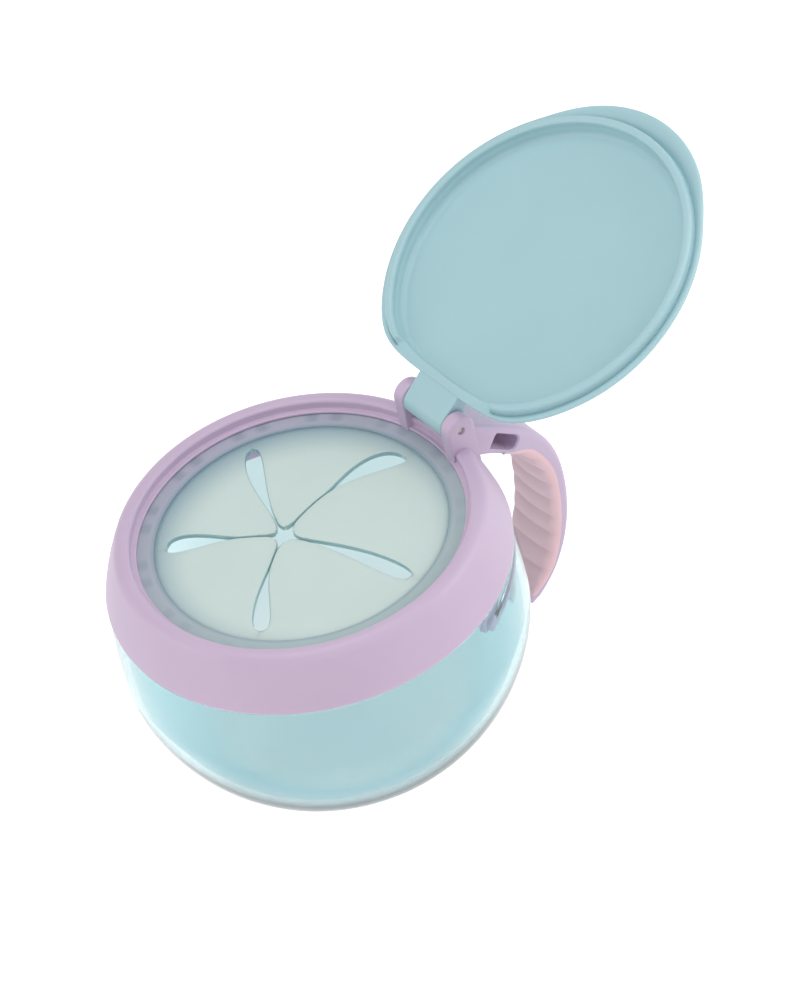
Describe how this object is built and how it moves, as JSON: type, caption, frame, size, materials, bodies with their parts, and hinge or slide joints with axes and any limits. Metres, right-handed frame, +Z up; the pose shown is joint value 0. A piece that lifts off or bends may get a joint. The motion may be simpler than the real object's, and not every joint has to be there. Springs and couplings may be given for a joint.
{
  "type": "toddler snack container",
  "caption": "Round snack tub for toddlers with a screw-on collar, soft star-slit flap membrane, flip lid on a steel pin and a C-shaped side handle with a ribbed soft grip.",
  "frame": {"origin": "centre of the bowl's flat foot, on the surface it stands on", "axes": "+Z up along the bowl's axis, +X towards the lid hinge and the handle, +Y to the left of +X"},
  "size_m": [0.166, 0.0974, 0.108],
  "materials": {
    "bowl": "clear glossy tinted",
    "collar": "satin moulded",
    "grip": "soft matte",
    "membrane": "translucent soft matte",
    "lid": "satin moulded",
    "pin": "plain turned"
  },
  "bodies": {
    "bowl": {"bowl": "bowl"},
    "insert": {"membrane_ring": "membrane", "retainer_ring": "collar"},
    "collar": {"collar": "collar", "handle_arm": "collar", "handle_grip": "grip", "hinge_pin": "pin"},
    "lid": {"lid": "lid"},
    "flap_1": {"flap_1": "membrane"},
    "flap_2": {"flap_2": "membrane"},
    "flap_3": {"flap_3": "membrane"},
    "flap_4": {"flap_4": "membrane"},
    "flap_5": {"flap_5": "membrane"}
  },
  "joints": [
    {"name": "collar_lift", "type": "slide", "parent": "bowl", "child": "insert", "axis": [0, 0, 1], "range_m": [0, 0.01]},
    {"name": "collar_turn", "type": "hinge", "parent": "insert", "child": "collar", "pos_m": [0, 0, 0.05], "axis": [0, 0, 1], "range_deg": [0, 150]},
    {"name": "lid_hinge", "type": "hinge", "parent": "collar", "child": "lid", "pos_m": [0.04105, 0, 0.0692], "axis": [0, 1, 0], "range_deg": [-156.18, 0]},
    {"name": "flap_1_bend", "type": "hinge", "parent": "insert", "child": "flap_1", "pos_m": [0.02062, 0.01498, 0.06], "axis": [0.5878, -0.809, 0], "range_deg": [0, 70], "stiffness_Nm_per_rad": 0.02},
    {"name": "flap_2_bend", "type": "hinge", "parent": "insert", "child": "flap_2", "pos_m": [-0.00788, 0.02424, 0.06], "axis": [0.9511, 0.309, 0], "range_deg": [0, 70], "stiffness_Nm_per_rad": 0.02},
    {"name": "flap_3_bend", "type": "hinge", "parent": "insert", "child": "flap_3", "pos_m": [-0.02548, 0, 0.06], "axis": [0, 1, 0], "range_deg": [0, 70], "stiffness_Nm_per_rad": 0.02},
    {"name": "flap_4_bend", "type": "hinge", "parent": "insert", "child": "flap_4", "pos_m": [-0.00788, -0.02424, 0.06], "axis": [-0.9511, 0.309, 0], "range_deg": [0, 70], "stiffness_Nm_per_rad": 0.02},
    {"name": "flap_5_bend", "type": "hinge", "parent": "insert", "child": "flap_5", "pos_m": [0.02062, -0.01498, 0.06], "axis": [-0.5878, -0.809, 0], "range_deg": [0, 70], "stiffness_Nm_per_rad": 0.02}
  ],
  "couplings": [
    {"joint": "collar_lift", "follows": "collar_turn", "m_per_rad": 0.0038197}
  ]
}
